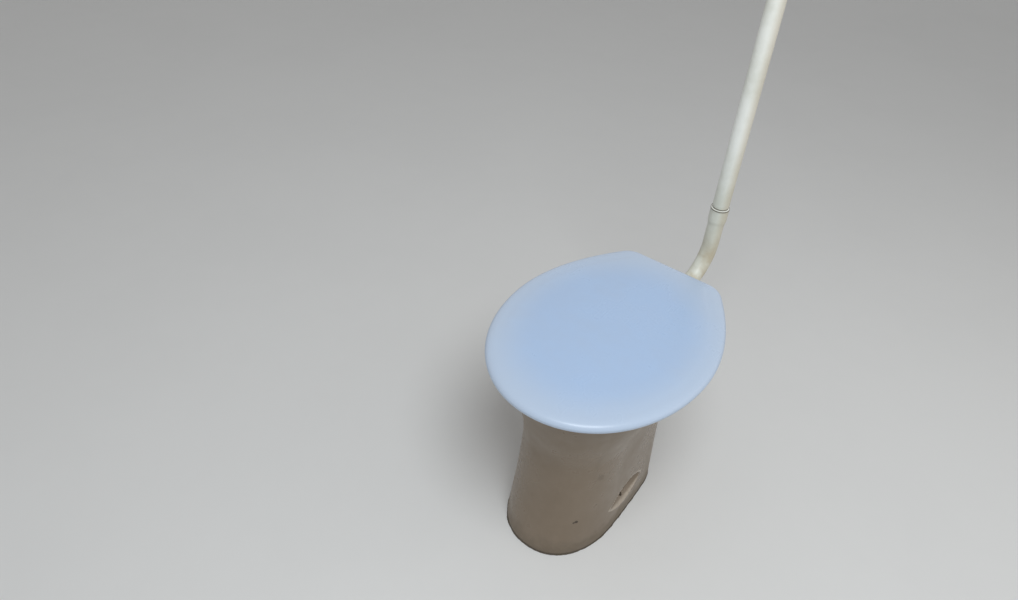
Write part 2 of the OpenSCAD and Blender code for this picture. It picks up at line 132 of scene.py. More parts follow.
def slopes(t, v):
    """Slopes at each knot of a curve through v that never overshoots it."""
    d = [(v[i + 1] - v[i]) / (t[i + 1] - t[i]) for i in range(len(v) - 1)]
    m = [d[0]]
    for a, b in zip(d, d[1:]):
        m.append(0.0 if a * b <= 0 else 2 * a * b / (a + b))
    return m + [d[-1]]


def follow(keys, spacing):
    """Levels between the given (height, level) ones, about spacing millimetres apart."""
    rows = [[z, *o] for z, o in keys]
    t = [0.0]
    for a, b in zip(rows, rows[1:]):
        t.append(t[-1] + max(0.01, math.dist((a[0], a[1], a[3], a[5]), (b[0], b[1], b[3], b[5]))))
    columns = [list(c) for c in zip(*rows)]
    ms = [slopes(t, c) for c in columns]
    out = []
    for i in range(len(t) - 1):
        h = t[i + 1] - t[i]
        count = max(2, math.ceil(h / spacing))
        for k in range(count):
            s = k / count
            h00, h10 = (1 + 2 * s) * (1 - s) ** 2, s * (1 - s) ** 2
            h01, h11 = s * s * (3 - 2 * s), s * s * (s - 1)
            row = [
                h00 * c[i] + h10 * h * m[i] + h01 * c[i + 1] + h11 * h * m[i + 1]
                for c, m in zip(columns, ms)
            ]
            out.append((row[0], row[1:]))
    out.append((rows[-1][0], rows[-1][1:]))
    return out


def ring_points(z, o, steps):
    return [(x, y, z) for x, y in outline(o, steps)]


# Meshes


def mesh_object(name, verts, faces, sharp=None):
    mesh = bpy.data.meshes.new(name)
    mesh.from_pydata([Vector(v) * MM for v in verts], [], faces)
    mesh.validate()
    mesh.shade_smooth()
    if sharp:
        mesh.set_sharp_from_angle(angle=math.radians(sharp))
    obj = bpy.data.objects.new(name, mesh)
    bpy.context.scene.collection.objects.link(obj)
    return obj


def skin(rings, first_mid=None, last_mid=None, closed=False):
    """Vertices and faces of a skin through rings of equal length."""
    n = len(rings[0])
    verts = [p for ring in rings for p in ring]
    faces = []
    pairs = [(i, i + 1) for i in range(len(rings) - 1)]
    if closed:
        pairs.append((len(rings) - 1, 0))
    for a, b in pairs:
        for i in range(n):
            j = (i + 1) % n
            faces.append((a * n + i, a * n + j, b * n + j, b * n + i))
    if first_mid:
        k = len(verts)
        verts.append(first_mid)
        faces += [(k, (i + 1) % n, i) for i in range(n)]
    if last_mid:
        k = len(verts)
        base = (len(rings) - 1) * n
        verts.append(last_mid)
        faces += [(k, base + i, base + (i + 1) % n) for i in range(n)]
    return verts, faces


def outward(obj):
    """Turns a closed mesh's faces to point out."""
    bm = bmesh.new()
    bm.from_mesh(obj.data)
    bmesh.ops.recalc_face_normals(bm, faces=bm.faces)
    if bm.calc_volume(signed=True) < 0:
        bmesh.ops.reverse_faces(bm, faces=bm.faces)
    bm.to_mesh(obj.data)
    bm.free()
    return obj


def circle(r, z, around, x=0.0, y=0.0):
    turns = [2 * math.pi * i / around for i in range(around)]
    return [(x + r * math.cos(a), y + r * math.sin(a), z) for a in turns]


def placed(points, origin, axis):
    """Points given round Z, moved so that Z lies along axis and starts at origin."""
    turn = Vector(axis).to_track_quat("Z", "Y")
    return [tuple(turn @ Vector(p) + Vector(origin)) for p in points]


def turned_solid(name, profile, origin=(0, 0, 0), axis=(0, 0, 1), around=64, sharp=40, closed=False):
    """A solid of revolution from (radius, height) points, with its ends closed unless closed is set."""
    rings = [placed(circle(r, h, around), origin, axis) for r, h in profile]
    ends = placed([(0, 0, profile[0][1]), (0, 0, profile[-1][1])], origin, axis)
    if closed:
        ends = (None, None)
    return outward(mesh_object(name, *skin(rings, *ends, closed=closed), sharp=sharp))


def rod(name, r, start, end, around=64):
    a, b = Vector(start), Vector(end)
    return turned_solid(name, [(r, 0), (r, (b - a).length)], start, b - a, around)


def bar(name, low, high, soften=0.0):
    """A square-cut block between two corners, with its edges rounded by soften."""
    verts = [(x, y, z) for x in (low[0], high[0]) for y in (low[1], high[1]) for z in (low[2], high[2])]
    faces = [(0, 1, 3, 2), (4, 6, 7, 5), (0, 4, 5, 1), (2, 3, 7, 6), (0, 2, 6, 4), (1, 5, 7, 3)]
    obj = outward(mesh_object(name, verts, faces))
    if soften:
        bm = bmesh.new()
        bm.from_mesh(obj.data)
        bmesh.ops.bevel(
            bm, geom=bm.edges[:], offset=soften * MM, segments=3, affect="EDGES", profile=0.5)
        bm.to_mesh(obj.data)
        bm.free()
    return obj


def joined(obj, tools, operation):
    """Adds each tool to obj or cuts it from obj; the tools are used up."""
    for tool in tools:
        modifier = obj.modifiers.new(tool.name, "BOOLEAN")
        modifier.operation = operation
        modifier.solver = "MANIFOLD"
        modifier.object = tool
    depsgraph = bpy.context.evaluated_depsgraph_get()
    mesh = bpy.data.meshes.new_from_object(obj.evaluated_get(depsgraph))
    used = [obj.data] + [tool.data for tool in tools]
    obj.modifiers.clear()
    obj.data = mesh
    for tool in tools:
        bpy.data.objects.remove(tool)
    for old in used:
        bpy.data.meshes.remove(old)
    mesh.shade_smooth()
    mesh.set_sharp_from_angle(angle=math.radians(32))


def coated(obj, material):
    """Gives obj one material over all its faces."""
    obj.data.materials.clear()
    obj.data.materials.append(material)
    for polygon in obj.data.polygons:
        polygon.material_index = 0


# Shader node groups


class Wiring:
    """Adds nodes to a tree and links them by socket name or number."""

    def __init__(self, tree):
        self.tree = tree

    def add(self, kind, links=None, **settings):
        node = self.tree.nodes.new(kind)
        for key, value in settings.items():
            setattr(node, key, value)
        for socket, value in (links or {}).items():
            self.set(node.inputs[socket], value)
        return node

    def set(self, socket, value):
        if isinstance(value, bpy.types.NodeSocket):
            self.tree.links.new(value, socket)
        else:
            socket.default_value = (*value[:3], 1) if socket.type == "RGBA" else value

    def use(self, group, **links):
        """Outputs of a group's node; each space in the name of an input is given as an underscore."""
        links = {label.replace("_", " "): value for label, value in links.items()}
        return self.add("ShaderNodeGroup", links, node_tree=group).outputs

    def math(self, operation, a, b=0.0, clamp=False):
        node = self.add("ShaderNodeMath", {0: a, 1: b}, operation=operation, use_clamp=clamp)
        return node.outputs[0]

    def plus(self, a, b, clamp=False):
        return self.math("ADD", a, b, clamp)

    def minus(self, a, b, clamp=False):
        return self.math("SUBTRACT", a, b, clamp)

    def times(self, a, b, clamp=False):
        return self.math("MULTIPLY", a, b, clamp)

    def squared(self, a):
        return self.math("POWER", a, 2.0)

    def noise(self, vector, scale, detail=3.0, roughness=0.55):
        links = {"Vector": vector, "Scale": scale, "Detail": detail, "Roughness": roughness}
        return self.add("ShaderNodeTexNoise", links).outputs["Fac"]

    def ramp(self, value, low, high, to_low=0.0, to_high=1.0):
        links = {"Value": value, "From Min": low, "From Max": high, "To Min": to_low, "To Max": to_high}
        return self.add("ShaderNodeMapRange", links, interpolation_type="SMOOTHSTEP").outputs["Result"]

    def colour_mix(self, factor, a, b):
        return self.add("ShaderNodeMix", {0: factor, 6: a, 7: b}, data_type="RGBA").outputs[2]

    def place(self):
        return self.add("ShaderNodeTexCoord").outputs["Object"]

    def axes(self, vector):
        split = self.add("ShaderNodeSeparateXYZ", {"Vector": vector})
        return [split.outputs[axis] for axis in "XYZ"]

    def stretched(self, vector, scale, turn=0.0):
        links = {"Vector": vector, "Rotation": (0.0, 0.0, turn), "Scale": scale}
        return self.add("ShaderNodeMapping", links).outputs["Vector"]


def node_group(name, inputs, build):
    """Makes a group once, from its inputs' defaults and a function that gives its outputs."""
    if name in bpy.data.node_groups:
        return bpy.data.node_groups[name]
    group = bpy.data.node_groups.new(name, "ShaderNodeTree")
    for label, default in inputs.items():
        kind = "Float" if isinstance(default, float) else "Vector" if len(default) == 3 else "Color"
        socket = group.interface.new_socket(name=label, in_out="INPUT", socket_type="NodeSocket" + kind)
        socket.default_value = default
    wires = Wiring(group)
    outputs = build(wires, group.nodes.new("NodeGroupInput").outputs)
    for label, value in outputs.items():
        group.interface.new_socket(name=label, in_out="OUTPUT", socket_type=value.bl_idname)
    wires.add("NodeGroupOutput", outputs)
    return group


def cloudy_tone():
    """Slow drift between two near colours, as in glaze or aged plastic."""

    def build(w, given):
        place = w.place()
        broad = w.noise(place, given["Scale"], 4.0)
        fine = w.noise(place, w.times(given["Scale"], 7.0), 2.0)
        mask = w.ramp(w.plus(broad, w.times(fine, 0.3)), 0.5, 0.85)
        amount = w.times(mask, given["Amount"])
        return {"Colour": w.colour_mix(amount, given["Colour"], given["Second Colour"]), "Mask": mask}

    colours = {"Colour": (0.8, 0.8, 0.8, 1), "Second Colour": (0.6, 0.6, 0.6, 1)}
    return node_group("cloudy_tone", {**colours, "Scale": 9.0, "Amount": 0.5}, build)


def surface_ripple():
    """Height of a glaze or moulding skin: a slow swell under a fine grain."""

    def build(w, given):
        place = w.place()
        swell = w.noise(place, given["Swell Scale"], 2.0)
        grain = w.noise(place, given["Grain Scale"], 3.0)
        return {"Height": w.plus(swell, w.times(grain, given["Grain"]))}

    inputs = {"Swell Scale": 25.0, "Grain Scale": 700.0, "Grain": 0.2}
    return node_group("surface_ripple", inputs, build)


def wiping_scratches():
    """Fine crossing hairlines from years of wiping, thin and broken up."""

    def build(w, given):
        place, lines = w.place(), 0.0
        for turn, length in ((0.4, 26.0), (1.3, 34.0), (2.2, 22.0)):
            scale = (length * 14, length * 0.55, length)
            line = w.noise(w.stretched(place, scale, turn), 1.0, 1.0, 0.3)
            lines = w.math("MAXIMUM", lines, w.ramp(line, 0.66, 0.72))
        broken = w.ramp(w.noise(place, 14.0, 2.0), 0.45, 0.7)
        return {"Mask": w.times(w.times(lines, broken), given["Amount"], True)}

    return node_group("wiping_scratches", {"Amount": 0.5}, build)


def settled_dust():
    """Dust on whatever faces up, in soft patches and single specks."""

    def build(w, given):
        coords = w.add("ShaderNodeTexCoord").outputs
        place = coords["Object"]
        up = w.ramp(w.axes(coords["Normal"])[2], 0.55, 1.0)
        patches = w.ramp(w.noise(place, given["Scale"], 4.0), 0.45, 0.75)
        specks = w.ramp(w.noise(place, w.times(given["Scale"], 40.0), 1.0), 0.72, 0.78)
        both = w.plus(w.times(patches, 0.35), specks)
        return {"Mask": w.times(w.times(both, up), given["Amount"], True)}

    return node_group("settled_dust", {"Scale": 12.0, "Amount": 0.3}, build)


def height_band():
    """A band of heights in metres, full from Low to High, fading over Fade at a ragged edge."""

    def build(w, given):
        place = w.place()
        ragged = w.times(w.minus(w.noise(place, 38.0, 4.0), 0.5), given["Ragged"])
        z = w.plus(w.axes(place)[2], ragged)
        rise = w.ramp(z, w.minus(given["Low"], given["Fade"]), given["Low"])
        fall = w.ramp(z, given["High"], w.plus(given["High"], given["Fade"]))
        return {"Mask": w.times(rise, w.minus(1.0, fall), True)}

    return node_group("height_band", {"Low": 0.0, "High": 0.1, "Fade": 0.02, "Ragged": 0.02}, build)


def spot():
    """A soft-edged spot round a point in metres."""

    def build(w, given):
        place, radius = w.place(), given["Radius"]
        gap = w.add("ShaderNodeVectorMath", {0: place, 1: given["Centre"]}, operation="DISTANCE")
        ragged = w.times(w.minus(w.noise(place, 160.0, 3.0), 0.5), radius)
        reach = w.plus(gap.outputs["Value"], ragged)
        return {"Mask": w.minus(1.0, w.ramp(reach, w.times(radius, 0.6), radius), True)}

    return node_group("spot", {"Centre": (0.0, 0.0, 0.0), "Radius": 0.005}, build)


def oval_edge():
    """Rises from nothing to one over the outer two fifths of an oval on the object's middle line."""

    def build(w, given):
        x, y, _ = w.axes(w.place())
        across = w.math("DIVIDE", x, given["Half Width"])
        along = w.math("DIVIDE", w.minus(y, given["Middle"]), given["Half Length"])
        reach = w.math("SQRT", w.plus(w.squared(across), w.squared(along)))
        return {"Mask": w.ramp(reach, 0.6, 1.02)}

    inputs = {"Half Width": 0.19, "Half Length": 0.24, "Middle": 0.0}
    return node_group("oval_edge", inputs, build)


def recess_masks():
    """Where the scooped recess lies on each flank of the foot: its inside and its rim."""

    def build(w, given):
        x, y, z = w.axes(w.place())
        arc = w.math("SQRT", w.minus(w.squared(given["Bow"]), w.squared(y)))
        radius = w.plus(w.minus(arc, given["Bow"]), given["Depth"])
        height = w.math("DIVIDE", w.math("ABSOLUTE", w.minus(z, given["Middle"])), LEAF_RISE)
        reach = w.minus(radius, height)
        flank = w.math("GREATER_THAN", w.math("ABSOLUTE", x), (FOOT[0] - SCOOP_DEPTH - 8) * MM)
        rim = w.minus(1.0, w.ramp(w.math("ABSOLUTE", reach), 0.0004, 0.0028))
        inside = w.ramp(reach, 0.001, 0.006)
        return {"Rim": w.times(rim, flank), "Inside": w.times(inside, flank)}

    return node_group("recess_masks", {"Bow": 0.106, "Depth": 0.02, "Middle": 0.066}, build)


# Materials


class Surface(Wiring):
    """Wires up a new Principled material, with the plain values of its shader set first."""

    def __init__(self, name, colour, **plain):
        self.material = bpy.data.materials.new(name)
        self.material.use_nodes = True
        self.material.diffuse_color = (*colour[:3], 1)
        super().__init__(self.material.node_tree)
        self.shader = self.tree.nodes["Principled BSDF"]
        for label, value in plain.items():
            self.shader.inputs[label.replace("_", " ")].default_value = value

    def shade(self, label, value):
        self.set(self.shader.inputs[label], value)

    def toned(self, colour, second, scale, amount):
        """Colour and mask of a slow drift from one colour towards a second one."""
        tone = self.use(cloudy_tone(), Colour=colour, Second_Colour=second, Scale=scale, Amount=amount)
        return tone["Colour"], tone["Mask"]

    def banded(self, low, high, fade, ragged):
        return self.use(height_band(), Low=low, High=high, Fade=fade, Ragged=ragged)["Mask"]

    def rippled(self, swell_scale, grain_scale, grain):
        links = {"Swell_Scale": swell_scale, "Grain_Scale": grain_scale, "Grain": grain}
        return self.use(surface_ripple(), **links)["Height"]

    def finished(self, colour, rough, height, strength, distance):
        """The material, with its colour, its roughness and its relief."""
        relief = {"Height": height, "Strength": strength, "Distance": distance}
        self.shade("Base Color", colour)
        self.shade("Roughness", rough)
        self.shade("Normal", self.add("ShaderNodeBump", relief).outputs["Normal"])
        return self.material

    def plain(self, colour, second, scale, amount, rough, ripple, strength, distance):
        """The material, with no more than a drift between two colours and two roughnesses."""
        mixed, cloud = self.toned(colour, second, scale, amount)
        rough = self.ramp(cloud, 0.0, 1.0, *rough)
        return self.finished(mixed, rough, self.rippled(*ripple), strength, distance)


def china_material(finish):
    """Worn glaze in colours darkened all over by painted shade: scale at the water line, dirt low on
    the foot that also paints shade along the floor, runs of dirt, chipped glaze, painted shade in the
    recesses and screw holes, and a painted highlight on the recess rims.
    """
    w = Surface("china", finish.shaded_china_colour, IOR=1.52, Specular_IOR_Level=0.38)
    # The glaze's two colours are darkened all over with painted shade
    colour, cloud = w.toned(finish.shaded_china_colour, finish.china_shade, 7.0, 0.6)

    place = w.place()
    x, y, _ = w.axes(place)
    across, along = w.times(x, 15.0), w.times(w.plus(y, 0.025), 9.0)
    inside = w.math("LESS_THAN", w.plus(w.squared(across), w.squared(along)), 1.0)
    tide = w.times(w.times(w.banded(0.160, 0.176, 0.012, 0.012), inside), 0.55)
    colour = w.colour_mix(tide, colour, finish.lime_colour)

    # Dirt low on the foot, darkening its bottom, which also serves as painted shade where the foot
    # meets the floor
    scuffs_and_floor_shade = w.times(w.banded(-0.01, 0.012, 0.03, 0.05), finish.grime * 0.8)
    colour = w.colour_mix(scuffs_and_floor_shade, colour, finish.grime_and_shade_colour)

    runs = w.noise(w.stretched(place, (60.0, 60.0, 5.0)), 1.0, 4.0)
    runs = w.times(w.ramp(runs, 0.55, 0.8), finish.grime * 0.3)
    colour = w.colour_mix(runs, colour, finish.grime_and_shade_colour)

    masks = w.use(recess_masks(), Bow=SCOOP_BOW * MM, Depth=SCOOP_DEPTH * MM, Middle=LEAF_Z * MM)
    # Painted shade inside the recesses, and a painted highlight along their rims
    colour = w.colour_mix(w.times(masks["Inside"], 0.22), colour, finish.grime_and_shade_colour)
    colour = w.colour_mix(w.times(masks["Rim"], 0.75), colour, finish.recess_rim_highlight)

    # Chipped glaze and dirt marks, with painted shade in and round each screw hole
    chips_and_hole_shade = 0.0
    for centre, radius, depth in CHIPS_AND_HOLE_SHADE:
        mark = w.times(w.use(spot(), Centre=centre, Radius=radius)["Mask"], depth)
        chips_and_hole_shade = w.math("MAXIMUM", chips_and_hole_shade, mark)
    colour = w.colour_mix(chips_and_hole_shade, colour, finish.chip_and_hole_shade_colour)

    rough = w.plus(w.ramp(cloud, 0.0, 1.0, 0.27, 0.38), w.times(scuffs_and_floor_shade, 0.5))
    rough = w.plus(rough, w.times(chips_and_hole_shade, 0.5), True)
    height = w.minus(w.rippled(14.0, 200.0, 0.02), w.times(chips_and_hole_shade, 1.2))
    return w.finished(colour, rough, height, 0.12, 0.0008)


def moulded_plastic(name, colour, second, finish, rough, grain=1.0, scratches=0.5, dust=0.4, oval=None):
    """Plastic with hairline scratches, a slow drift of tone, dust, and a painted highlight that pales
    it towards the edge of an oval.
    """
    w = Surface(name, colour, IOR=1.49)
    mixed, cloud = w.toned(colour, second, 5.0, 0.6)
    hair = w.use(wiping_scratches(), Amount=scratches * finish.wear)["Mask"]
    overlay = w.use(settled_dust(), Scale=9.0, Amount=dust * finish.dust)["Mask"]
    mixed = w.colour_mix(w.times(hair, 0.3), mixed, second)
    mixed = w.colour_mix(overlay, mixed, finish.dust_colour)
    if oval is not None:
        width, length, middle = oval
        # Painted highlight, paler towards the oval's edge
        edge = w.use(oval_edge(), Half_Width=width, Half_Length=length, Middle=middle)["Mask"]
        mixed = w.colour_mix(w.times(edge, 0.55), mixed, finish.lid_edge_highlight)
    base = w.plus(w.ramp(cloud, 0.0, 1.0, rough - 0.04, rough + 0.06), w.times(hair, 0.25))
    base = w.plus(base, w.times(overlay, 0.5), True)
    height = w.minus(w.rippled(16.0, 900.0, 0.05 * grain), w.times(hair, 0.05))
    return w.finished(mixed, base, height, 0.2, 0.0012)


def pipe_material(finish):
    """Off-white painted pipe: long brush marks, painted shade on the bend and low pipe and down its
    right side, a brown stain at the bend, and a painted shadow line at the socket's top edge.
    """
    w = Surface("pipe_plastic", finish.pipe_colour, IOR=1.48)
    colour, _ = w.toned(finish.pipe_colour, finish.pipe_shade, 11.0, 0.7)
    place = w.place()
    # Painted shade: the bend and the low pipe are darker
    overlay = w.banded(0.20, 0.46, 0.2, 0.03)
    colour = w.colour_mix(w.times(overlay, 0.45), colour, finish.pipe_low_shade)
    patch = w.ramp(w.noise(place, 22.0, 4.0), 0.35, 0.7)
    stain = w.times(w.times(w.banded(0.25, 0.37, 0.09, 0.05), patch), finish.grime * 1.2, True)
    colour = w.colour_mix(stain, colour, finish.pipe_stain_and_shade)
    # Painted shade down the pipe's right side
    flank = w.ramp(w.axes(place)[0], (UPRIGHT[0] + 5) * MM, (UPRIGHT[0] + 17) * MM)
    colour = w.colour_mix(w.times(flank, 0.4), colour, finish.pipe_stain_and_shade)
    # Painted shadow line at the socket's top edge
    seam = w.banded((SOCKET_TOP - 1.8) * MM, (SOCKET_TOP + 2.5) * MM, 0.0015, 0.001)
    colour = w.colour_mix(w.times(seam, 0.8), colour, finish.grime_and_shade_colour)
    brush = w.noise(w.stretched(place, (520.0, 520.0, 9.0)), 1.0, 3.0)
    rough = w.plus(w.ramp(brush, 0.3, 0.7, 0.3, 0.46), w.times(stain, 0.2), True)
    return w.finished(colour, rough, brush, 0.35, 0.0006)


def rubber_material(finish):
    colour = finish.rubber_colour
    w = Surface("rubber", colour, Specular_IOR_Level=0.35)
    ripple = (90.0, 1500.0, 0.3)
    return w.plain(colour, finish.dust_colour, 40.0, 0.25, (0.62, 0.82), ripple, 0.3, 0.0008)


def steel_material(finish):
    """Zinc-plated steel with a bloom of rust in patches."""
    w = Surface("zinc_steel", finish.steel_colour)
    rust = w.ramp(w.noise(w.place(), 130.0, 5.0), 0.52, 0.68)
    zinc, _ = w.toned(finish.steel_colour, (0.42, 0.43, 0.42), 60.0, 0.7)
    colour = w.colour_mix(rust, zinc, finish.rust_colour)
    w.shade("Metallic", w.ramp(rust, 0.0, 1.0, 1.0, 0.05))
    rough = w.ramp(rust, 0.0, 1.0, 0.32, 0.85)
    return w.finished(colour, rough, w.rippled(180.0, 1300.0, 0.4), 0.3, 0.0005)


def joint_material(finish):
    """Dried mortar and dirt along the foot."""
    colour = finish.joint_colour
    w = Surface("foot_joint", colour)
    ripple = (240.0, 1400.0, 0.6)
    return w.plain(colour, finish.grime_and_shade_colour, 55.0, 0.9, (0.8, 0.95), ripple, 0.8, 0.0012)


def water_material():
    w = Surface("still_water", (0.85, 0.93, 0.95), Transmission_Weight=1.0, IOR=1.333)
    clear, dull, ripple = (0.93, 0.97, 0.97), (0.86, 0.92, 0.9), (22.0, 90.0, 0.1)
    return w.plain(clear, dull, 14.0, 0.5, (0.0, 0.03), ripple, 0.06, 0.001)


# The pan

PAN_LOW, PAN_HIGH = box_mm("bowl")
SPIGOT_LOW, SPIGOT_HIGH = box_mm("outlet_spigot")
LID_LOW, LID_HIGH = box_mm("lid")
PIPE_LOW, PIPE_HIGH = box_mm("flush_pipe")
SEAT_Z = box_mm("seat_ring")[0][2]
SOCKET_TOP = box_mm("flush_bend")[1][2]
POST_LOW, POST_HIGH = box_mm("hinge_post_right")

RIM_Z = PAN_HIGH[2]
CHINA = 10.0
WAIST_Z = 225.0
DECK_UNDER = RIM_Z - 30.0
SUMP_Z = 46.0
FOOT = level(103, 93, -182, -38, 160, 64, 2.2, 2.5)
WAIST = level(95, 79, -154, -42, 166, 56, 2.2, 2.5)
RIM = level(PAN_HIGH[0], 95, PAN_LOW[1], 4, 262, 24)
BELLY = level(mix(WAIST[0], RIM[0], 0.5), 80, mix(WAIST[2], RIM[2], 0.45), -8, FOOT[4] + 16, 44)
OPENING = level(120, 65, RIM[2] + 40, -6, 108, 46)
SUMP = level(44, 42, -62, -10, 44, 10)
BELLY_Z = mix(WAIST_Z, RIM_Z, 0.58)
HINGE_Y = POST_LOW[1] + 14.0
HINGE_Z = POST_HIGH[2] - 8.0
BOLT_X = 70.0
INLET_Z, INLET_END, INLET_R, HORN_START = 338.0, 274.0, 22.5, 130.0
OUTLET_Z, OUTLET_END, OUTLET_R, OUTLET_BORE = 190.0, SPIGOT_HIGH[1], 51.0, 42.0
COLLAR_END = SPIGOT_LOW[1]
TRAP_Z, TRAP_Y, TRAP_R, LINK_Z = 80.0, 112.0, 26.0, 198.0
WATER_Z = LINK_Z - TRAP_R
FIXING_X, FIXING_R = 89.0, 4.0
SCOOP_Z, SCOOP_LEN, SCOOP_DEPTH = 54.0, 124.0, 20.0
SCOOP_BOW = (SCOOP_LEN ** 2 / 4 + SCOOP_DEPTH ** 2) / (2 * SCOOP_DEPTH)
# The recess as the photograph shows it: higher and taller than its cutter, with a soft raised lip
LEAF_Z, LEAF_RISE, LEAF_SOFT = SCOOP_Z + 12, 1.25, 1.6
LIP_RISE, LIP_WIDTH = 1.1, 3.0
# Between foot and waist: the share of the waist's height, and how far the outline has turned into it
FLARE = ((0.72, 0.86), (0.5, 0.66), (0.3, 0.4), (0.11, 0.12))
# Points along the front, the side, the corner and the rear of each half outline
PAN_STEPS = (60, 52, 8, 8)

# Where the glaze is chipped, rubbed or dark with dirt, and painted shade in and round each screw hole:
# middle and radius in metres, and how strongly
CHIPS_AND_HOLE_SHADE = [
    ((0.0704, -0.1352, 0.0863), 0.004, 0.8), ((0.0675, -0.1385, 0.0845), 0.003, 0.7),
    ((0.0852, -0.0991, 0.191), 0.009, 0.22),
    # Painted shade in and round the two screw holes
    ((0.0865, -0.003, 0.054), 0.0072, 1.0), ((-0.0865, -0.003, 0.054), 0.0072, 1.0),
]


def outside_levels():
    """The pan's outside, from the rim down to the floor."""
    return follow([
        (RIM_Z, inset(RIM, 7)), (RIM_Z - 2, inset(RIM, 2)), (RIM_Z - 8, RIM),
        (DECK_UNDER + 8, inset(RIM, 1)), (DECK_UNDER + 2, inset(RIM, 6)),
        (DECK_UNDER, inset(RIM, 14)), (DECK_UNDER, blend_level(BELLY, RIM, 0.34)),
        (mix(BELLY_Z, DECK_UNDER, 0.6), blend_level(BELLY, RIM, 0.22)), (BELLY_Z, BELLY),
        (mix(WAIST_Z, BELLY_Z, 0.62), blend_level(WAIST, BELLY, 0.5)),
        (mix(WAIST_Z, BELLY_Z, 0.28), blend_level(WAIST, BELLY, 0.14)), (WAIST_Z, WAIST),
        *[(k * WAIST_Z, blend_level(FOOT, WAIST, t)) for k, t in FLARE],
        (5, FOOT), (0, inset(FOOT, 1.5)),
    ], spacing=2.8)


def hollow_levels():
    """The hollow inside the pedestal, from the floor up round the bowl and down under its sump."""
    half, front = FOOT[0] - SCOOP_DEPTH - CHINA, mix(FOOT[2], WAIST[2], 0.5) + CHINA + 3
    rear, corner = FOOT[4] - CHINA, FOOT[5] - CHINA
    return follow([
        (0, level(half, half - 4, FOOT[2] + CHINA, -42, rear, corner, 2.2)),
        (SCOOP_Z + SCOOP_DEPTH + CHINA, level(half - 3, half - 7, front, -42, rear, corner)),
        (0.6 * WAIST_Z, inset(WAIST, CHINA + 1)), (0.85 * WAIST_Z, inset(WAIST, CHINA)),
        (0.93 * WAIST_Z, inset(WAIST, CHINA + 2)), (0.95 * WAIST_Z, inset(WAIST, CHINA + 6)),
        (0.9 * WAIST_Z, level(64, 50, -112, -10, 68, 20)),
        (0.7 * WAIST_Z, level(60, 50, -98, -10, 64, 18)),
        (0.4 * WAIST_Z, level(56, 50, -80, -10, 56, 16)),
        (SUMP_Z + 12, inset(SUMP, -CHINA)), (SUMP_Z - CHINA + 1, SUMP),
    ], spacing=9.0)


def bowl_levels():
    """The inside of the bowl, from its sump up to the rim."""
    shoulder = level(76, 50, -118, -6, 66, 34)
    return follow([
        (SUMP_Z, inset(SUMP, 18)), (SUMP_Z + 4, inset(SUMP, 5)), (SUMP_Z + 16, SUMP),
        (0.4 * WAIST_Z, level(46, 43, -70, -10, 46, 12)),
        (0.7 * WAIST_Z, level(50, 42, -88, -10, 51, 20)),
        (0.95 * WAIST_Z, level(58, 44, -103, -8, 56, 28)), (mix(WAIST_Z, BELLY_Z, 0.45), shoulder),
        (BELLY_Z - 6, blend_level(shoulder, inset(OPENING, -10), 0.55)),
        (mix(BELLY_Z, DECK_UNDER, 0.62), inset(OPENING, 3)), (DECK_UNDER - 2, inset(OPENING, -6)),
        (DECK_UNDER + 4, inset(OPENING, -5)), (DECK_UNDER + 8, OPENING), (RIM_Z - 8, OPENING),
        (RIM_Z - 2, inset(OPENING, -2)), (RIM_Z, inset(OPENING, -8)),
    ], spacing=4.5)


def scooped(x, y, z):
    """Half width x of the foot, drawn in to the recess round a fixing hole, with a soft raised edge."""
    if abs(y) > SCOOP_LEN / 2 + 12 or z > LEAF_Z + 50:
        return x
    radius = math.sqrt(max(0.0, SCOOP_BOW ** 2 - y * y)) + SCOOP_DEPTH - SCOOP_BOW
    rise = (z - LEAF_Z) / LEAF_RISE
    reach = radius - abs(rise)
    wall = FOOT[0] - math.sqrt(max(0.0, radius ** 2 - rise ** 2)) if reach > 0 else FOOT[0] - reach
    gap = abs(x - wall)
    lip = LIP_RISE * math.exp(-(gap / LIP_WIDTH) ** 2) if wall > x else 0.0
    return min(x, wall) - (max(0.0, LEAF_SOFT - gap) ** 2 / (4 * LEAF_SOFT)) + lip


def trap_run(name, r, start, end):
    """The trap's way as three rods: low out of the sump, up, and back out at start and end along Y."""
    return [
        rod(name + "_low", r, (0, start, TRAP_Z), (0, TRAP_Y + r - 6, TRAP_Z)),
        rod(name + "_rise", r - 1, (0, TRAP_Y, TRAP_Z - r + 6), (0, TRAP_Y, LINK_Z + r - 6)),
        rod(name + "_link", r, (0, TRAP_Y - r + 6, LINK_Z), (0, end, LINK_Z)),
    ]


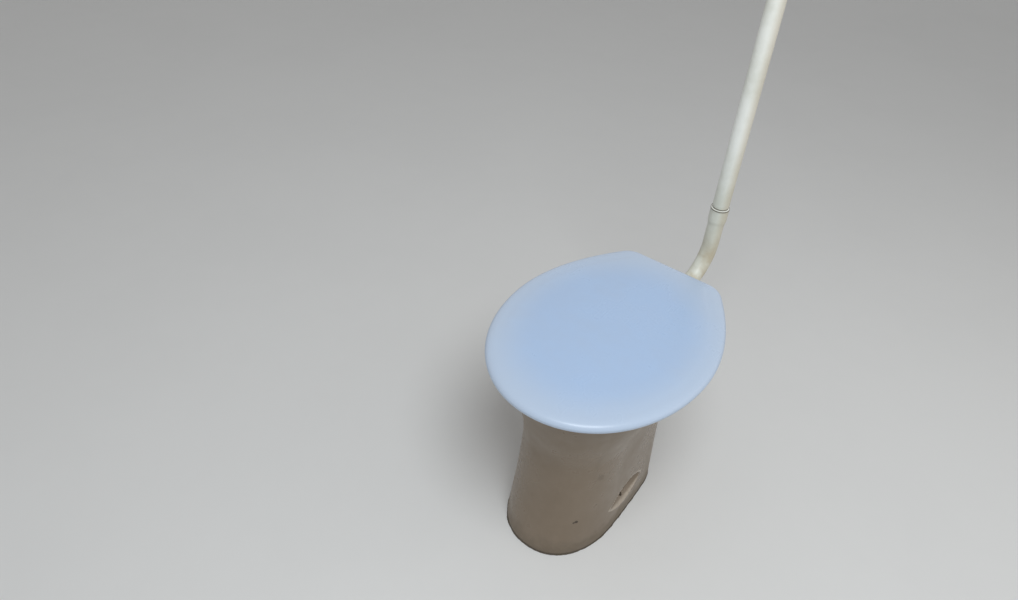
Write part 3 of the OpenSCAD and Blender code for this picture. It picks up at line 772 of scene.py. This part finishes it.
def pan_piece(finish):
    bowl, outside = bowl_levels(), outside_levels()
    flat = [(RIM_Z, blend_level(bowl[-1][1], outside[0][1], k / 4)) for k in (1, 2, 3)]
    rings = [ring_points(z, o, PAN_STEPS) for z, o in bowl + flat]
    for z, o in outside:
        ring = ring_points(z, o, PAN_STEPS)
        rings.append([(math.copysign(scooped(abs(x), y, z), x), y, z) for x, y, z in ring])
    rings += [ring_points(z, o, PAN_STEPS) for z, o in hollow_levels()]
    pan = outward(mesh_object("china_pan", *skin(rings, (0, -10, SUMP_Z), (0, -10, SUMP_Z - CHINA))))

    length = INLET_END - HORN_START
    horn = turned_solid("horn", [
        (40, 0), (39, 50), (34.5, 57), (31.5, 66), (30.5, 76),
        (30.5, length - 2), (29.6, length - 0.4), (28.2, length),
    ], (0, HORN_START, INLET_Z), (0, 1, 0), 96)
    start = COLLAR_END - 20
    length = OUTLET_END - start
    spigot = turned_solid("spigot", [
        (59, 0), (58.4, 9), (57.4, 14), (57, 17), (56.4, 18.8), (54.6, 20.2), (52.4, 21.4),
        (51.3, 23.5), (OUTLET_R, 27), (OUTLET_R, length - 2.5), (50.2, length - 0.6), (48.6, length),
    ], (0, start, OUTLET_Z), (0, 1, 0), 96)
    casing = trap_run("trap", TRAP_R + CHINA - 1, SUMP[4] + 4, FOOT[4])
    joined(pan, [horn, spigot] + casing, "UNION")
    bores = [
        rod("inlet_bore", INLET_R, (0, 90, INLET_Z), (0, INLET_END + 1, INLET_Z)),
        rod("outlet_bore", OUTLET_BORE, (0, FOOT[4] + 6, OUTLET_Z), (0, OUTLET_END + 1, OUTLET_Z), 96),
    ] + trap_run("passage", TRAP_R, SUMP[4] - 14, COLLAR_END)
    for s in (-1, 1):
        x, bolt = s * FIXING_X, s * BOLT_X
        bores.append(rod("screw_hole", FIXING_R, (x, 0, -1), (x, 0, SCOOP_Z), 32))
        ends = (bolt, HINGE_Y, DECK_UNDER - 30), (bolt, HINGE_Y, RIM_Z + 30)
        bores.append(rod("bolt_hole", 7, *ends, 48))
    joined(pan, bores, "DIFFERENCE")
    coated(pan, china_material(finish))
    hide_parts("bowl", "pedestal", "trapway", "outlet_spigot")
    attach(pan, PAN_BODY)


# Seat and lid

LID_STEPS = (72, 56, 10, 10)
# The ears round the hinge pins: width, radius, radius of the eye, and distance from the post's middle
EAR_W, EAR_R, EYE_R, EAR_GAP = 8.0, 8.0, 4.08, 12.0
LID_BACK = LID_HIGH[1]
LID_FRONT = LID_LOW[1]
LID_CROWN = 4.0
LID_TOP = LID_HIGH[2] - LID_CROWN
LID_UNDER = HINGE_Z + 9.5
LID = level(LID_HIGH[0], 95, LID_FRONT, mix(LID_BACK, LID_FRONT, 0.495), LID_BACK, 18, 2.05, 1.9)
SEAT = level(LID[0] - 10, 97, LID_FRONT + 10, LID[3], HINGE_Y - 16, 16, 2.05, 1.9)
SEAT_HOLE = level(LID[0] - 72, LID[0] - 124, LID_FRONT + 80, LID[3] - 10, 112, 44)
# How far from the outer edge towards the hole, as a share, and how high above the seat's underside
SEAT_PROFILE = [
    (0.06, 0), (0.015, 3), (0, 6.5), (0.03, 11.5), (0.12, 14.8), (0.28, 16),
    (0.55, 16), (0.78, 14.2), (0.93, 10.5), (1, 6), (0.975, 2.5), (0.92, 0),
]
# The lid's rolled edge and the inside of its wall: how far in, and how high against LID_TOP
LID_EDGE = [
    (22, 0.1), (15, -0.5), (9.5, -1.5), (5, -3.2), (2.0, -5.8), (0.4, -8.4), (0, -10.0),
    (1.2, -15), (2.6, -16), (4.4, -15), (5.0, -13),
]


def hinged(obj, reach, web_low, web_high, notch=()):
    """Gives obj two hinge ears, each on a web between two (y, z) corners, and a notch at each post."""
    adds, cuts = [], []
    for s in (-1, 1):
        x = s * (BOLT_X + reach)
        low, high = x - EAR_W / 2, x + EAR_W / 2
        adds.append(rod("ear", EAR_R, (low, HINGE_Y, HINGE_Z), (high, HINGE_Y, HINGE_Z), 48))
        adds.append(bar("web", (low, *web_low), (high, *web_high), 0.8))
        cuts.append(rod("eye", EYE_R, (low - 1, HINGE_Y, HINGE_Z), (high + 1, HINGE_Y, HINGE_Z), 48))
        if notch:
            cuts.append(bar("notch", (s * BOLT_X - 24, *notch[0]), (s * BOLT_X + 24, *notch[1])))
    joined(obj, adds, "UNION")
    joined(obj, cuts, "DIFFERENCE")


def seat_piece(finish):
    keys = [(SEAT_Z + h, blend_level(SEAT, SEAT_HOLE, t)) for t, h in SEAT_PROFILE]
    rings = [ring_points(z, o, LID_STEPS) for z, o in follow(keys, spacing=2.2)]
    seat = outward(mesh_object("seat", *skin(rings, closed=True)))
    hinged(seat, EAR_GAP, (HINGE_Y - 46, SEAT_Z + 0.2), (HINGE_Y, SEAT_Z + 13))
    colours = finish.plastic_colour, finish.plastic_shade
    coated(seat, moulded_plastic("seat_plastic", *colours, finish, rough=0.34))
    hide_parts("seat_ring")
    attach(seat, PAN_BODY)


def lid_piece(finish):
    shares = (0.06, 0.15, 0.3, 0.45, 0.6, 0.72, 0.82)
    crown = [(LID_TOP + LID_CROWN * (1 - k * k), shrunk(LID, k)) for k in shares]
    edge = [(LID_TOP + rise, inset(LID, d)) for d, rise in LID_EDGE]
    under = [(LID_UNDER - 2, inset(LID, 6.5)), (LID_UNDER, inset(LID, 10))]
    keys = crown + edge + under + [(LID_UNDER, shrunk(LID, k)) for k in (0.5, 0.2)]
    rings = [ring_points(z, o, LID_STEPS) for z, o in follow(keys, spacing=2.6)]
    mids = (0, LID[3], LID_HIGH[2]), (0, LID[3], LID_UNDER)
    lid = outward(mesh_object("lid_cover", *skin(rings, *mids)))
    notch = ((HINGE_Y + 8, LID_UNDER - 16), (HINGE_Y + 24, LID_UNDER))
    hinged(lid, -EAR_GAP, (HINGE_Y - 8, HINGE_Z), (HINGE_Y + 5, LID_UNDER + 1.5), notch)
    oval = (LID[0] * MM, (LID_BACK - LID_FRONT) / 2 * MM, (LID_BACK + LID_FRONT) / 2 * MM)
    # The lid's colours carry a painted blue sky reflection, and its oval edge a painted highlight
    colours = finish.sky_tinted_lid_colour, finish.lid_shade
    coated(lid, moulded_plastic("lid_plastic", *colours, finish, rough=0.3, scratches=0.25, oval=oval))
    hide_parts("lid")
    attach(lid, LID_BODY)


# Flush bend and pipe

PIPE_R, PIPE_WALL, SEAM_RISE = 16.0, 2.0, 0.3
UPRIGHT = ((PIPE_LOW[0] + PIPE_HIGH[0]) / 2, (PIPE_LOW[1] + PIPE_HIGH[1]) / 2)
BEND_R = 80.0
PIVOT_Y = INLET_END - 8
BEND_REACH = round(10 * math.hypot(UPRIGHT[0], UPRIGHT[1] - PIVOT_Y)) / 10
BEND_TURN = -math.atan2(UPRIGHT[0], UPRIGHT[1] - PIVOT_Y)
BEND_TOP = INLET_Z + BEND_R
SOCKET_Z = SOCKET_TOP - 42


def bend_stations():
    """Centre, lean, outer and inner radius at steps along the bend, in its own upright plane."""
    start, radii = BEND_REACH - BEND_R, (PIPE_R, PIPE_R - PIPE_WALL)
    stations = [(mix(-30, start, k / 8), INLET_Z, 90.0, *radii) for k in range(9)]
    for k in range(1, 37):
        lean = 2.5 * k
        a = math.radians(lean)
        y, z = start + BEND_R * math.sin(a), BEND_TOP - BEND_R * math.cos(a)
        stations.append((y, z, 90 - lean, *radii))
    for k in range(1, 6):
        stations.append((BEND_REACH, mix(BEND_TOP, SOCKET_Z - 6, k / 5), 0.0, *radii))
    # Height in the socket, with the outer and the inner radius there
    socket = [
        (-4, 16.0, 14.0), (-1, 16.05, 14.0), (0, 16.1, 14.05), (0.1, 16.1, 15.58), (6, 16.3, 15.58),
        (11, 17.1, 15.58), (13, 17.75, 15.58), (14, 17.9, 15.58), (24, 17.9, 15.58), (34, 17.95, 15.58),
        (38, 18.1, 15.6), (38.2, 18.15, 17.6), (40.8, 18.25, 17.6), (41.6, 18.2, 17.6),
        (42, 18.0, 17.7),
    ]
    stations += [(BEND_REACH, SOCKET_Z + h, 0.0, r, q) for h, r, q in socket]
    return stations


def bend_ring(station, inner, around=72):
    """One ring of the bend's inside or outside; the outside has a moulding seam along each flank."""
    y, z, lean, outer_r, inner_r = station
    a = math.radians(lean)
    normal = Vector((0, math.cos(a), -math.sin(a)))
    points = []
    for i in range(around):
        t = 2 * math.pi * i / around
        r = inner_r if inner else outer_r + SEAM_RISE * max(0.0, math.cos(2 * t)) ** 60
        points.append(Vector((math.cos(t) * r, 0, 0)) + normal * (math.sin(t) * r) + Vector((0, y, z)))
    turn = Matrix.Rotation(BEND_TURN, 3, "Z")
    return [tuple(turn @ p + Vector((0, PIVOT_Y, 0))) for p in points]


def bend_piece(finish):
    stations = bend_stations()
    rings = [bend_ring(s, False) for s in stations] + [bend_ring(s, True) for s in reversed(stations)]
    bend = outward(mesh_object("flush_bend_pipe", *skin(rings, closed=True), sharp=38))
    bend.data.materials.append(pipe_material(finish))
    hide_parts("flush_bend")
    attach(bend, PAN_BODY)
    return bend


def pipe_piece(bend):
    """The upright pipe, drawn in a little where it enters the socket."""
    top, low, tip = PIPE_HIGH[2], PIPE_LOW[2], PIPE_R - 0.5
    outer = [(tip - 0.4, low), (tip, low + 0.6), (tip, SOCKET_TOP + 6), (PIPE_R, SOCKET_TOP + 6.5)]
    outer += [(PIPE_R, mix(SOCKET_TOP + 8, top, k / 24)) for k in range(24)]
    outer += [(PIPE_R, top - 0.8), (PIPE_R - 0.25, top - 0.2), (PIPE_R - 0.8, top)]
    bore = PIPE_R - PIPE_WALL
    profile = outer + [(bore + 0.3, top), (bore, top - 0.5), (bore, low + 0.1), (bore + 0.2, low)]
    pipe = turned_solid("upright_pipe", profile, (*UPRIGHT, 0), around=96, sharp=38, closed=True)
    pipe.data.materials.append(bend.data.materials[0])
    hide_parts("flush_pipe")
    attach(pipe, PAN_BODY)


# Bolts, foot joint and water


def threaded_bolt(side, material, sizes):
    """A plain steel bolt with a rolled thread, replacing the smooth one."""
    node = f"hinge_bolt_{side}"
    low, high = box_mm(node)
    x, y, r = (low[0] + high[0]) / 2, (low[1] + high[1]) / 2, (high[0] - low[0]) / 2
    around, pitch, chamfer, depth = 24, sizes.thread_pitch / MM, 0.6, 0.62
    rows = int((high[2] - low[2] - 2 * chamfer) / pitch * 4)
    rings = [circle(r - 1, low[2], around, x, y)]
    for k in range(rows + 1):
        z = low[2] + chamfer + k * pitch / 4
        ring = []
        for i in range(around):
            a = 2 * math.pi * i / around
            reach = r - depth * abs(((z / pitch - i / around) % 1.0) * 2 - 1)
            ring.append((x + reach * math.cos(a), y + reach * math.sin(a), z))
        rings.append(ring)
    rings.append(circle(r - 1, high[2], around, x, y))
    bolt = outward(mesh_object(f"threaded_bolt_{side}", *skin(rings, (x, y, low[2]), (x, y, high[2]))))
    bolt.data.materials.append(material)
    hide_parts(node)
    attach(bolt, PAN_BODY)


def foot_joint_piece(finish, sizes):
    """A thin uneven bead of mortar and dirt where the foot meets the floor."""
    width = sizes.joint_width / MM
    rings = []
    for out, z in ((-1.2, 0.0), (1.0, 0.0), (0.9, 0.25), (0.55, 0.55), (0.1, 0.8), (-1.2, 0.95)):
        ring = []
        for x, y in outline(FOOT, (90, 80, 10, 24)):
            broad = noise.noise(Vector((x * 0.06, y * 0.06, 3.0)))
            fine = noise.noise(Vector((x * 0.22, y * 0.22, 9.0)))
            ragged = 0.75 + 0.5 * broad + 0.35 * fine
            push = out * width * ragged if out > 0 else out * 2
            flat = Vector((x, y + 20)).normalized()
            ring.append((x + flat.x * push, y + flat.y * push, z * width * max(0.5, ragged)))
        rings.append(ring)
    bead = outward(mesh_object("foot_joint_line", *skin(rings, closed=True), sharp=50))
    bead.data.materials.append(joint_material(finish))
    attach(bead, PAN_BODY)


def water_piece(sizes):
    """The still water in the bowl, its edge drawn up a little where it meets the china."""
    z = sizes.water_level / MM
    levels = bowl_levels()
    below = max((lv for lv in levels if lv[0] <= z), key=lambda lv: lv[0])
    above = min((lv for lv in levels if lv[0] > z), key=lambda lv: lv[0])
    edge = blend_level(below[1], above[1], (z - below[0]) / (above[0] - below[0]))
    lifts = ((-0.6, 0.9), (0.5, 0.5), (1.6, 0.2), (4, 0), (14, 0), (26, 0))
    rings = [ring_points(z + lift, inset(edge, d), (40, 30, 6, 6)) for d, lift in lifts]
    water = mesh_object("still_water", *skin(rings, None, (0, -20, z)))
    if water.data.polygons[-1].normal.z < 0:
        water.data.flip_normals()
    water.data.materials.append(water_material())
    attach(water, PAN_BODY)


# Settings that a user would change


def colour(label, note, value):
    return FloatVectorProperty(
        name=label, description=note, subtype="COLOR", size=3, min=0, max=1, default=value)


def distance(label, note, value):
    return FloatProperty(name=label, description=note, default=value, unit="LENGTH", subtype="DISTANCE")


def share(label, note, value):
    return FloatProperty(name=label, description=note, default=value, min=0, max=1, subtype="FACTOR")


def power(label, note, value):
    return FloatProperty(name=label, description=note, default=value, min=0, unit="POWER")


class ToiletSizes(bpy.types.PropertyGroup):
    water_level: distance("Water level", "Height of the still water above the floor", WATER_Z * MM)
    thread_pitch: distance("Thread pitch", "Pitch of the thread on the two seat bolts", 0.00125)
    joint_width: distance("Foot joint", "Width of the mortar line between foot and floor", 0.0018)


class ToiletFinish(bpy.types.PropertyGroup):
    # The china colours here, china and china shade, are darkened all over with painted shade
    shaded_china_colour: colour("China", "Glaze of the pan", (0.235, 0.184, 0.134))
    # Painted highlight along the recess rims
    recess_rim_highlight: colour("China light", "Thin glaze on the recess's rims", (0.52, 0.45, 0.37))
    china_shade: colour("China shade", "Darker drift in the glaze", (0.197, 0.150, 0.104))
    # The lid's colours are tinted blue by a painted sky reflection
    sky_tinted_lid_colour: colour("Lid", "Plastic of the lid", (0.41, 0.555, 0.785))
    # Painted highlight, paler towards the lid's edge
    lid_edge_highlight: colour("Lid edge", "Worn, paler plastic towards the lid's edge", (0.555, 0.625, 0.71))
    lid_shade: colour("Lid shade", "Duller drift in the lid", (0.415, 0.535, 0.73))
    plastic_colour: colour("Seat", "Plastic of the seat and hinges", (0.78, 0.80, 0.82))
    plastic_shade: colour("Seat shade", "Duller drift in the seat and hinges", (0.70, 0.70, 0.68))
    pipe_colour: colour("Pipe", "Paint of the flush pipe and bend", (0.93, 0.94, 0.875))
    pipe_shade: colour("Pipe shade", "Aged drift in the pipe's paint", (0.76, 0.77, 0.68))
    # Painted shade on the bend and the low pipe
    pipe_low_shade: colour("Pipe film", "Yellowed film over the bend and low pipe", (0.56, 0.58, 0.47))
    # Stain about the bend, also used as painted shade down the pipe's right side
    pipe_stain_and_shade: colour("Pipe stain", "Stain about the bend", (0.42, 0.31, 0.16))
    rubber_colour: colour("Rubber", "Buffers, washers, cone and seal", (0.045, 0.045, 0.043))
    steel_colour: colour("Steel", "Zinc on the seat bolts", (0.60, 0.60, 0.58))
    rust_colour: colour("Rust", "Rust on the seat bolts", (0.20, 0.075, 0.025))
    lime_colour: colour("Lime", "Scale at the water line", (0.50, 0.40, 0.24))
    # Grime, also used as painted shade in the recesses, at the socket's top edge and where the foot
    # meets the floor
    grime_and_shade_colour: colour("Grime", "Dirt low on the foot and in the joints", (0.10, 0.08, 0.055))
    # Bare body where chipped, also used as painted shade in and round the screw holes
    chip_and_hole_shade_colour: colour("Chip", "Bare body where the glaze is chipped", (0.03, 0.022, 0.016))
    joint_colour: colour("Joint", "Mortar line round the foot", (0.09, 0.075, 0.06))
    dust_colour: colour("Dust", "Settled dust", (0.50, 0.48, 0.43))
    wear: share("Scratches", "How strongly wiping scratches show", 0.6)
    dust: share("Dust amount", "How much dust lies on the flat places", 0.4)
    grime: share("Grime amount", "How much dirt and staining shows", 0.5)


class StudioSettings(bpy.types.PropertyGroup):
    floor_colour: colour("Floor", "Colour of the plain floor", (0.78, 0.78, 0.77))
    key_power: power("Key light", "Power of the large soft light overhead", 36.0)
    fill_power: power("Fill light", "Power of the weak light at the right", 3.5)
    sky: FloatProperty(name="Room light", description="Even light from all round", default=0.36, min=0)
    lens: FloatProperty(
        name="Lens", description="Focal length of the camera on a 36 mm frame",
        default=27.26, min=10, max=200, subtype="DISTANCE_CAMERA", unit="CAMERA")


# Operators


class TOILET_OT_pan(bpy.types.Operator):
    """Cast the china pan with its bowl, rim, deck, horn, spigot and scooped fixing recesses"""

    bl_idname = "toilet.pan"
    bl_label = "China pan"

    def execute(self, context):
        pan_piece(context.scene.toilet_finish)
        return {"FINISHED"}


class TOILET_OT_seat_and_lid(bpy.types.Operator):
    """Mould the seat and the lid, each with its hinge ears"""

    bl_idname = "toilet.seat_and_lid"
    bl_label = "Seat and lid"

    def execute(self, context):
        seat_piece(context.scene.toilet_finish)
        lid_piece(context.scene.toilet_finish)
        return {"FINISHED"}


class TOILET_OT_flush(bpy.types.Operator):
    """Form the flush bend with its push-fit socket, and the upright pipe"""

    bl_idname = "toilet.flush"
    bl_label = "Flush bend and pipe"

    def execute(self, context):
        pipe_piece(bend_piece(context.scene.toilet_finish))
        return {"FINISHED"}


class TOILET_OT_fittings(bpy.types.Operator):
    """Finish the hinges, buffers, washers, wing nuts, cone and seal, and thread the seat bolts"""

    bl_idname = "toilet.fittings"
    bl_label = "Hinges and small fittings"

    def execute(self, context):
        sizes, finish = context.scene.toilet_sizes, context.scene.toilet_finish
        colours = finish.plastic_shade, finish.plastic_colour
        hinge = moulded_plastic(
            "hinge_plastic", *colours, finish, rough=0.36, grain=2.0, scratches=0.3, dust=0.8)
        rubber, steel = rubber_material(finish), steel_material(finish)
        for name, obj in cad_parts.items():
            if name.startswith(("hinge_post", "hinge_pin", "wing_nut")):
                dress(obj, hinge, 0.5)
            elif name.startswith(("seat_buffer", "lid_buffer", "deck_washer")) or name == "inlet_cone":
                dress(obj, rubber, 0.4)
            elif name == "socket_seal":
                dress(obj, bpy.data.materials["pipe_plastic"], 0.4)
        for side in ("left", "right"):
            threaded_bolt(side, steel, sizes)
        return {"FINISHED"}


def dress(obj, material, edge):
    """Gives a node of the frame its material and a small round on its edges."""
    coated(obj, material)
    bevel = obj.modifiers.new("edge_round", "BEVEL")
    bevel.width, bevel.segments = edge * MM, 2
    bevel.limit_method, bevel.angle_limit = "ANGLE", math.radians(40)
    bevel.harden_normals = False


class TOILET_OT_foot_joint(bpy.types.Operator):
    """Lay the thin mortar line round the foot"""

    bl_idname = "toilet.foot_joint"
    bl_label = "Foot joint"

    def execute(self, context):
        foot_joint_piece(context.scene.toilet_finish, context.scene.toilet_sizes)
        return {"FINISHED"}


class TOILET_OT_water(bpy.types.Operator):
    """Fill the bowl up to its weir"""

    bl_idname = "toilet.water"
    bl_label = "Still water"

    def execute(self, context):
        water_piece(context.scene.toilet_sizes)
        return {"FINISHED"}


# The floor lies a little under the foot's joint line
FLOOR_Z = -0.4
# Where each light stands and what it faces, its width in metres and its tint
KEY_LIGHT = (0.8, -0.9, 2.5), (0, 0, 0.35), 1.3, (0.93, 0.97, 1.0)
FILL_LIGHT = (1.8, 0.9, 1.3), (0, 0, 0.3), 1.7, (1.0, 0.96, 0.9)


def area_light(name, energy, place, target, size, tint):
    lamp = bpy.data.lights.new(name, "AREA")
    lamp.shape, lamp.size, lamp.energy, lamp.color = "DISK", size, energy, tint
    obj = bpy.data.objects.new(name, lamp)
    obj.location = place
    obj.rotation_euler = (Vector(target) - Vector(place)).to_track_quat("-Z", "Y").to_euler()
    bpy.context.scene.collection.objects.link(obj)


def pale_world(strength):
    """Even grey-white light, with plain white wherever the world itself is seen."""
    world = bpy.data.worlds.new("studio")
    bpy.context.scene.world = world
    world.use_nodes = True
    w = Wiring(world.node_tree)
    background = world.node_tree.nodes["Background"]
    path = w.add("ShaderNodeLightPath").outputs
    mirrored = w.math("MAXIMUM", path["Is Glossy Ray"], path["Is Transmission Ray"])
    seen = w.math("MAXIMUM", path["Is Camera Ray"], mirrored)
    background.inputs["Color"].default_value = (1, 1, 1, 1)
    w.set(background.inputs["Strength"], w.ramp(seen, 0.0, 1.0, strength, 1.0))


def floor_piece(studio):
    """A wide round floor with a plain matt finish."""
    rings = [circle(r / MM, FLOOR_Z, 96) for r in (0.5, 1.0, 2.0, 4.0, 7.0)]
    floor = mesh_object("studio_floor", *skin(rings, (0, 0, FLOOR_Z)))
    pale = studio.floor_colour
    w = Surface("studio_floor", pale, Roughness=0.9, Specular_IOR_Level=0.2)
    w.shade("Base Color", w.toned(pale, [v * 0.97 for v in pale], 2.0, 0.5)[0])
    floor.data.materials.append(w.material)


def photo_camera(studio):
    """The camera where the photograph was taken from: above, in front and to the right."""
    place, yaw, pitch, roll = Vector((0.4233, -0.9147, 1.2820)), -0.6044, 0.6837, -0.0754
    turns = (-yaw, "Z"), (math.pi / 2 - pitch, "X"), (-roll, "Z")
    turned, tilted, rolled = (Matrix.Rotation(angle, 4, axis) for angle, axis in turns)
    data = bpy.data.cameras.new("photo_camera")
    data.lens, data.sensor_width, data.clip_start = studio.lens, 36.0, 0.01
    camera = bpy.data.objects.new("photo_camera", data)
    camera.matrix_world = Matrix.Translation(place) @ turned @ tilted @ rolled
    bpy.context.scene.collection.objects.link(camera)
    bpy.context.scene.camera = camera


class TOILET_OT_studio(bpy.types.Operator):
    """Set the plain floor, the soft lights and the camera"""

    bl_idname = "toilet.studio"
    bl_label = "Studio"

    def execute(self, context):
        studio = context.scene.toilet_studio
        floor_piece(studio)
        pale_world(studio.sky)
        area_light("window_light", studio.key_power, *KEY_LIGHT)
        area_light("room_light", studio.fill_power, *FILL_LIGHT)
        photo_camera(studio)
        context.scene.view_settings.view_transform = "Standard"
        return {"FINISHED"}


class TOILET_PT_sidebar(bpy.types.Panel):
    """Toilet pieces, sizes and finishes in the sidebar"""

    bl_label = "Floor-standing toilet"
    bl_idname = "TOILET_PT_sidebar"
    bl_space_type = "VIEW_3D"
    bl_region_type = "UI"
    bl_category = "Toilet"

    def draw(self, context):
        for operator in PIECES:
            self.layout.operator(operator.bl_idname)
        for group in ("toilet_sizes", "toilet_finish", "toilet_studio"):
            owner = getattr(context.scene, group)
            column = self.layout.column(align=True)
            for name in owner.__annotations__:
                column.prop(owner, name)


GROUPS = {"toilet_sizes": ToiletSizes, "toilet_finish": ToiletFinish, "toilet_studio": StudioSettings}
PIECES = (
    TOILET_OT_pan, TOILET_OT_seat_and_lid, TOILET_OT_flush, TOILET_OT_fittings, TOILET_OT_foot_joint,
    TOILET_OT_water, TOILET_OT_studio,
)


def register():
    for cls in (*GROUPS.values(), *PIECES, TOILET_PT_sidebar):
        bpy.utils.register_class(cls)
    for name, cls in GROUPS.items():
        setattr(bpy.types.Scene, name, PointerProperty(type=cls))


def unregister():
    for name in GROUPS:
        delattr(bpy.types.Scene, name)
    for cls in (TOILET_PT_sidebar, *reversed(PIECES), *GROUPS.values()):
        bpy.utils.unregister_class(cls)


def main():
    register()
    bpy.ops.toilet.pan()
    bpy.ops.toilet.seat_and_lid()
    bpy.ops.toilet.flush()
    bpy.ops.toilet.fittings()
    bpy.ops.toilet.foot_joint()
    bpy.ops.toilet.water()
    bpy.ops.toilet.studio()
    bpy.context.view_layer.update()


if __name__ == "__main__":
    main()
